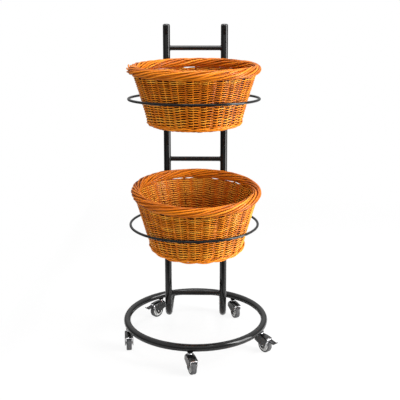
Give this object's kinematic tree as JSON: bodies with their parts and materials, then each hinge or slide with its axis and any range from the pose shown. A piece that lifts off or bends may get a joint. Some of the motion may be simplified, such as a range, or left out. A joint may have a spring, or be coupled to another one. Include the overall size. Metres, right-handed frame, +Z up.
{
  "type": "basket display stand",
  "caption": "Rolling shop stand: a black tube ladder on a round base with swivel casters carries wicker baskets, each resting on a wire cradle inside a wire hoop.",
  "frame": {"origin": "on the floor, under the middle of the whole stand", "axes": "+Z up, -Y towards the front where the baskets are, +X to the right as seen from the front"},
  "size_m": [0.5354, 0.672, 1.1081],
  "materials": {
    "black_powder_coat": "gloss",
    "black_plastic": "satin",
    "zinc_plate": "satin",
    "chrome": "polished",
    "grey_tread": "matte",
    "pale_hub": "satin",
    "pedal_grey": "satin",
    "honey_wicker": "satin"
  },
  "bodies": {
    "frame": {"base_ring": "black_powder_coat", "upright_left_lower": "black_powder_coat", "upright_right_lower": "black_powder_coat", "upright_left_upper": "black_powder_coat", "upright_right_upper": "black_powder_coat", "crossbar_base": "black_powder_coat", "crossbar_middle": "black_powder_coat", "crossbar_top": "black_powder_coat", "plug_left": "black_plastic", "plug_right": "black_plastic", "snap_spring_left": "zinc_plate", "snap_spring_right": "zinc_plate", "hoop_lower": "black_powder_coat", "hoop_upper": "black_powder_coat", "cradle_lower": "black_powder_coat", "cradle_upper": "black_powder_coat", "caster_front_stem": "zinc_plate", "caster_right_stem": "zinc_plate", "caster_rear_right_stem": "zinc_plate", "caster_rear_left_stem": "zinc_plate", "caster_left_stem": "zinc_plate"},
    "button_left": {"snap_button_left": "zinc_plate"},
    "button_right": {"snap_button_right": "zinc_plate"},
    "basket_lower": {"basket_lower_floor": "honey_wicker", "basket_lower_foot": "honey_wicker", "basket_lower_wall": "honey_wicker", "basket_lower_rim": "honey_wicker"},
    "basket_upper": {"basket_upper_floor": "honey_wicker", "basket_upper_foot": "honey_wicker", "basket_upper_wall": "honey_wicker", "basket_upper_rim": "honey_wicker"},
    "caster_front": {"caster_front_fork": "chrome", "caster_front_hood": "black_plastic", "caster_front_axle": "zinc_plate"},
    "wheel_front": {"caster_front_tyre": "grey_tread", "caster_front_hub": "pale_hub"},
    "caster_right": {"caster_right_fork": "chrome", "caster_right_hood": "black_plastic", "caster_right_axle": "zinc_plate"},
    "wheel_right": {"caster_right_tyre": "grey_tread", "caster_right_hub": "pale_hub"},
    "pedal_right": {"caster_right_pedal": "pedal_grey"},
    "caster_rear_right": {"caster_rear_right_fork": "chrome", "caster_rear_right_hood": "black_plastic", "caster_rear_right_axle": "zinc_plate"},
    "wheel_rear_right": {"caster_rear_right_tyre": "grey_tread", "caster_rear_right_hub": "pale_hub"},
    "caster_rear_left": {"caster_rear_left_fork": "chrome", "caster_rear_left_hood": "black_plastic", "caster_rear_left_axle": "zinc_plate"},
    "wheel_rear_left": {"caster_rear_left_tyre": "grey_tread", "caster_rear_left_hub": "pale_hub"},
    "pedal_rear_left": {"caster_rear_left_pedal": "pedal_grey"},
    "caster_left": {"caster_left_fork": "chrome", "caster_left_hood": "black_plastic", "caster_left_axle": "zinc_plate"},
    "wheel_left": {"caster_left_tyre": "grey_tread", "caster_left_hub": "pale_hub"}
  },
  "joints": [
    {"name": "swivel_front", "type": "hinge", "parent": "frame", "child": "caster_front", "pos_m": [-0.02557, -0.16063, 0.058], "axis": [0, 0, 1], "continuous": true},
    {"name": "swivel_right", "type": "hinge", "parent": "frame", "child": "caster_right", "pos_m": [0.21352, -0.00537, 0.058], "axis": [0, 0, 1], "continuous": true},
    {"name": "swivel_rear_right", "type": "hinge", "parent": "frame", "child": "caster_rear_right", "pos_m": [0.12622, 0.28018, 0.058], "axis": [0, 0, 1], "continuous": true},
    {"name": "swivel_rear_left", "type": "hinge", "parent": "frame", "child": "caster_rear_left", "pos_m": [-0.15197, 0.28018, 0.058], "axis": [0, 0, 1], "continuous": true},
    {"name": "swivel_left", "type": "hinge", "parent": "frame", "child": "caster_left", "pos_m": [-0.24351, 0.0066, 0.058], "axis": [0, 0, 1], "continuous": true},
    {"name": "roll_front", "type": "hinge", "parent": "caster_front", "child": "wheel_front", "pos_m": [-0.01873, -0.17943, 0.025], "axis": [0.9397, 0.342, 0], "continuous": true},
    {"name": "roll_right", "type": "hinge", "parent": "caster_right", "child": "wheel_right", "pos_m": [0.22716, -0.01999, 0.025], "axis": [0.7314, 0.682, 0], "continuous": true},
    {"name": "roll_rear_right", "type": "hinge", "parent": "caster_rear_right", "child": "wheel_rear_right", "pos_m": [0.13467, 0.26205, 0.025], "axis": [0.9063, 0.4226, 0], "continuous": true},
    {"name": "roll_rear_left", "type": "hinge", "parent": "caster_rear_left", "child": "wheel_rear_left", "pos_m": [-0.16683, 0.2668, 0.025], "axis": [0.6691, -0.7431, 0], "continuous": true},
    {"name": "roll_left", "type": "hinge", "parent": "caster_left", "child": "wheel_left", "pos_m": [-0.24072, -0.01321, 0.025], "axis": [0.9903, 0.1392, 0], "continuous": true},
    {"name": "brake_right", "type": "hinge", "parent": "caster_right", "child": "pedal_right", "pos_m": [0.24049, -0.03429, 0.04829], "axis": [0.7314, 0.682, 0], "range_deg": [0, 20]},
    {"name": "brake_rear_left", "type": "hinge", "parent": "caster_rear_left", "child": "pedal_rear_left", "pos_m": [-0.18135, 0.25372, 0.04829], "axis": [0.6691, -0.7431, 0], "range_deg": [0, 20]},
    {"name": "lift_lower_basket", "type": "slide", "parent": "frame", "child": "basket_lower", "axis": [0, -0.1736, 0.9848], "range_m": [0, 0.15]},
    {"name": "lift_upper_basket", "type": "slide", "parent": "frame", "child": "basket_upper", "axis": [0, -0.1736, 0.9848], "range_m": [0, 0.15]},
    {"name": "press_button_left", "type": "slide", "parent": "frame", "child": "button_left", "axis": [0, 1, 0], "range_m": [0, 0.004], "stiffness_N_per_m": 400, "springref_m": -0.003, "deforming": ["snap_spring_left"]},
    {"name": "press_button_right", "type": "slide", "parent": "frame", "child": "button_right", "axis": [0, 1, 0], "range_m": [0, 0.004], "stiffness_N_per_m": 400, "springref_m": -0.003, "deforming": ["snap_spring_right"]}
  ]
}
